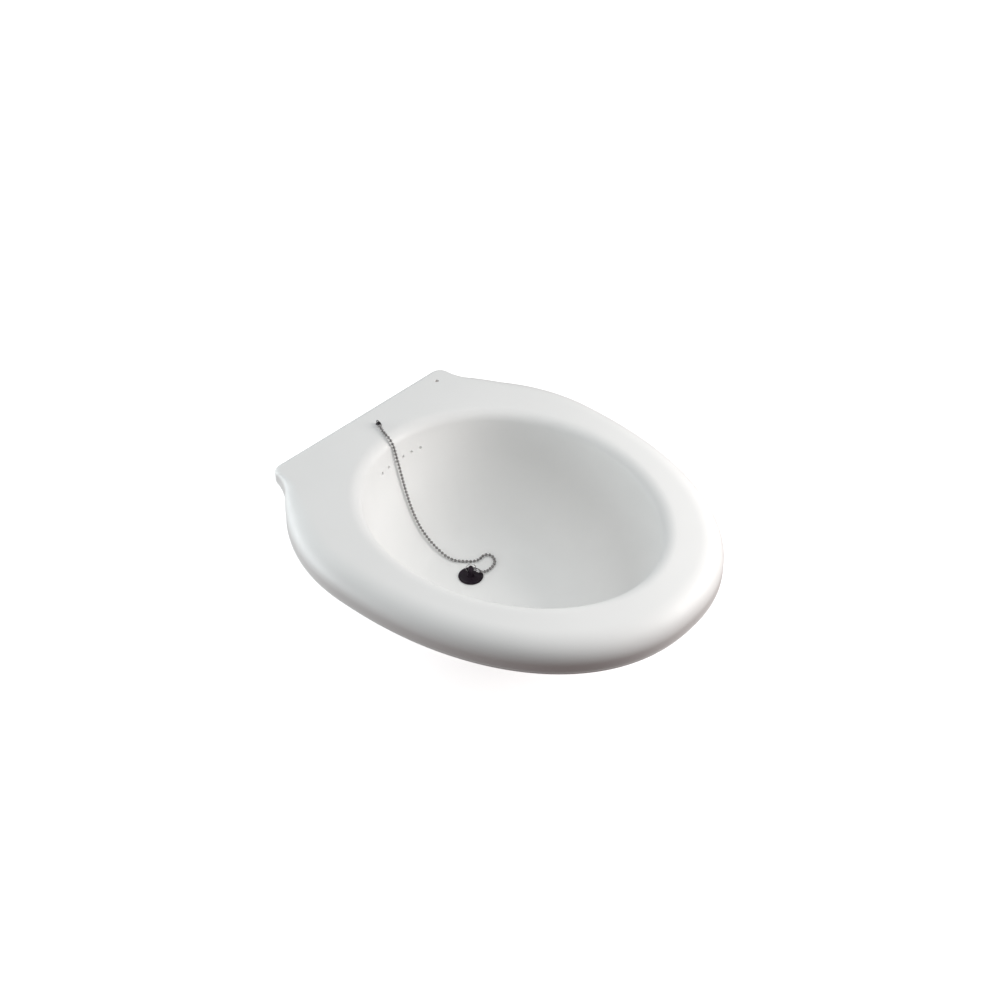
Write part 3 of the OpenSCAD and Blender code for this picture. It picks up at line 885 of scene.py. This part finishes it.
def make_stay():
    deck = STAY_MIDDLE.copy()
    deck.z = RIM_Z
    eye = wire_loop("stay", STAY_EYE_R, STAY_WIRE_R, around=56)
    eye.data.transform(Matrix.Translation(STAY_EYE) @ Matrix.Rotation(math.pi / 2, 4, "Y"))
    edge = FLANGE_RING_EDGE_R
    head = ([(FLANGE_RING_R - 0.0002, 0.00001), (FLANGE_RING_R, 0.00015)]
            + arc(FLANGE_RING_R - edge, FLANGE_RING_T - edge, edge, 0, 80, 5)
            + [(0.0013, FLANGE_RING_T), (0.0010, FLANGE_RING_T + 0.0002), (0.0008, FLANGE_RING_T + 0.0004)])
    flange = mesh_object("stay_flange", *revolved(head, 56))
    flange.data.transform(Matrix.Translation(deck))
    combine(eye, flange, "UNION")
    low = -(WALL + WASHER_T + NUT_T + STEM_END)
    stem = threaded_stem("stem", STEM_R, low, 0.0002)
    stem.data.transform(Matrix.Translation(deck))
    combine(eye, stem, "UNION")
    finish_piece(eye, FITTINGS, "bowl_body", "chrome_fittings", "chain_stay")

    top = -WALL - WASHER_T
    washer_profile = rounded_ring(STAY_HOLE_R, WASHER_R, top, -WALL, WASHER_EDGE_R)
    washer = mesh_object("washer", *revolved(washer_profile, 64, loop=True))
    washer.data.transform(Matrix.Translation(deck))
    finish_piece(washer, FIXINGS, "bowl_body", "steel_fixings", "stay_washer")

    corner = NUT_AF / math.sqrt(3)
    face_r, past_corner = NUT_AF / 2 * 0.93, corner * 1.02
    nut = mesh_object("nut", *revolved([(corner, top - NUT_T), (corner, top)], 6))
    cone = [(face_r, top - NUT_T), (past_corner, top - NUT_T + NUT_CHAMFER),
            (past_corner, top - NUT_CHAMFER), (face_r, top)]
    chamfer = mesh_object("chamfer", *revolved(cone, 64))
    combine(nut, chamfer, "INTERSECT")
    bore_profile = flared_bore(STEM_R + THREAD_GAP, top - NUT_T, top, NUT_BORE_FLARE)
    bore = mesh_object("bore", *revolved(bore_profile, 40))
    combine(nut, bore, "DIFFERENCE")
    nut.data.transform(Matrix.Translation(deck))
    finish_piece(nut, FIXINGS, "bowl_body", "steel_fixings", "stay_nut", sharp=20)


ring = make_ring()
plug_coupling = make_coupling("plug_coupling", PLUG_COUPLING, WIRE, "chrome_wire", "ring_body",
                              "plug_end_coupling")
stay_coupling = make_coupling("stay_coupling", STAY_COUPLING, FITTINGS, "chrome_fittings",
                              "stay_coupling_body", "stay_end_coupling")
make_stay()


# ---------------------------------------------------------------- floor and light

FLOOR_SIZE = 8.0
FLOOR_GLOW = 0.72
# The side that the camera looks from is kept dark, which shades the rim's rolled edge
DARK_SIDE = (-0.86, -0.5, 0.0)
TOP_LIGHT = 0.87
TOP_TINT = (0.965, 0.99, 1.0)
SIDE_LIGHT = 0.2
SIDE_TINT = (0.94, 1.0, 1.03)
HORIZON_LIGHT = 0.03
HORIZON_TINT = (1.0, 0.88, 0.88)
BOUNCE_LIGHT = (0.12, 0.066, 0.06)


def make_floor():
    half = FLOOR_SIZE / 2
    corners = [(-half, -half, 0), (half, -half, 0), (half, half, 0), (-half, half, 0)]
    floor = mesh_object("studio_floor", corners, [(0, 1, 2, 3)])
    material, shader = new_material("studio_floor")
    shader.inputs["Base Color"].default_value = (0.9, 0.9, 0.9, 1)
    shader.inputs["Roughness"].default_value = 0.9
    shader.inputs["Emission Color"].default_value = (1, 1, 1, 1)
    shader.inputs["Emission Strength"].default_value = FLOOR_GLOW
    floor.data.materials.append(material)
    # The floor takes the bowl's shadow but throws no light back at it
    floor.visible_diffuse = False
    floor.visible_glossy = False


def softbox(name, direction, distance, size, power, colour):
    """A soft area light that shines on the bowl from a direction."""
    data = bpy.data.lights.new(name, "AREA")
    data.shape = "RECTANGLE"
    data.size, data.size_y = size
    data.energy = power
    data.color = colour
    light = bpy.data.objects.new(name, data)
    bpy.context.collection.objects.link(light)
    away = Vector(direction).normalized()
    light.location = Vector((0, 0, 0.1)) + away * distance
    light.rotation_mode = "QUATERNION"
    light.rotation_quaternion = away.to_track_quat("Z", "Y")


def make_world():
    """A white studio to the camera, and a bright ceiling with one dark side to the bowl."""
    world = bpy.data.worlds.new("studio")
    world.use_nodes = True
    tree = world.node_tree
    tree.nodes.clear()

    def node(kind, **settings):
        made = tree.nodes.new(kind)
        for name, value in settings.items():
            setattr(made, name, value)
        return made

    def ramp(source, low, high, out_low, out_high):
        made = node("ShaderNodeMapRange", interpolation_type="SMOOTHSTEP")
        for name, value in (("From Min", low), ("From Max", high), ("To Min", out_low), ("To Max", out_high)):
            made.inputs[name].default_value = value
        tree.links.new(source, made.inputs["Value"])
        return made.outputs["Result"]

    def mixed(share, first, second):
        made = node("ShaderNodeMix", data_type="RGBA")
        tree.links.new(share, made.inputs["Factor"])
        for socket, value in ((made.inputs[6], first), (made.inputs[7], second)):
            if isinstance(value, tuple):
                socket.default_value = (*value, 1)
            else:
                tree.links.new(value, socket)
        return made.outputs[2]

    direction = node("ShaderNodeTexCoord").outputs["Generated"]
    split = node("ShaderNodeSeparateXYZ")
    tree.links.new(direction, split.inputs[0])
    height = split.outputs["Z"]
    toward = node("ShaderNodeVectorMath", operation="DOT_PRODUCT")
    tree.links.new(direction, toward.inputs[0])
    toward.inputs[1].default_value = DARK_SIDE
    ceiling = tuple(TOP_LIGHT * t for t in TOP_TINT)
    side = tuple(SIDE_LIGHT * t for t in SIDE_TINT)
    dark = tuple(HORIZON_LIGHT * t for t in HORIZON_TINT)
    rear = mixed(ramp(height, 0.25, 0.9, 0, 1), side, ceiling)
    front = mixed(ramp(height, 0.35, 0.95, 0, 1), dark, ceiling)
    upper = mixed(ramp(toward.outputs["Value"], -0.25, 0.45, 0, 1), rear, front)
    whole = mixed(ramp(height, -0.12, 0.02, 0, 1), BOUNCE_LIGHT, upper)
    studio, seen = node("ShaderNodeBackground"), node("ShaderNodeBackground")
    tree.links.new(whole, studio.inputs["Color"])
    seen.inputs["Color"].default_value = (1, 1, 1, 1)
    either, output = node("ShaderNodeMixShader"), node("ShaderNodeOutputWorld")
    tree.links.new(node("ShaderNodeLightPath").outputs["Is Camera Ray"], either.inputs[0])
    tree.links.new(studio.outputs[0], either.inputs[1])
    tree.links.new(seen.outputs[0], either.inputs[2])
    tree.links.new(either.outputs[0], output.inputs["Surface"])
    bpy.context.scene.world = world


def make_light():
    make_world()
    softbox("key", (0.8, -0.78, 0.62), 1.0, (0.6, 0.6), 7.0, (1, 0.955, 0.935))
    softbox("left_reflector", (-0.62, 0.78, 0.1), 0.9, (0.9, 0.3), 4.2, (0.93, 0.985, 1))
    bpy.context.scene.view_settings.view_transform = "Standard"


make_floor()
make_light()
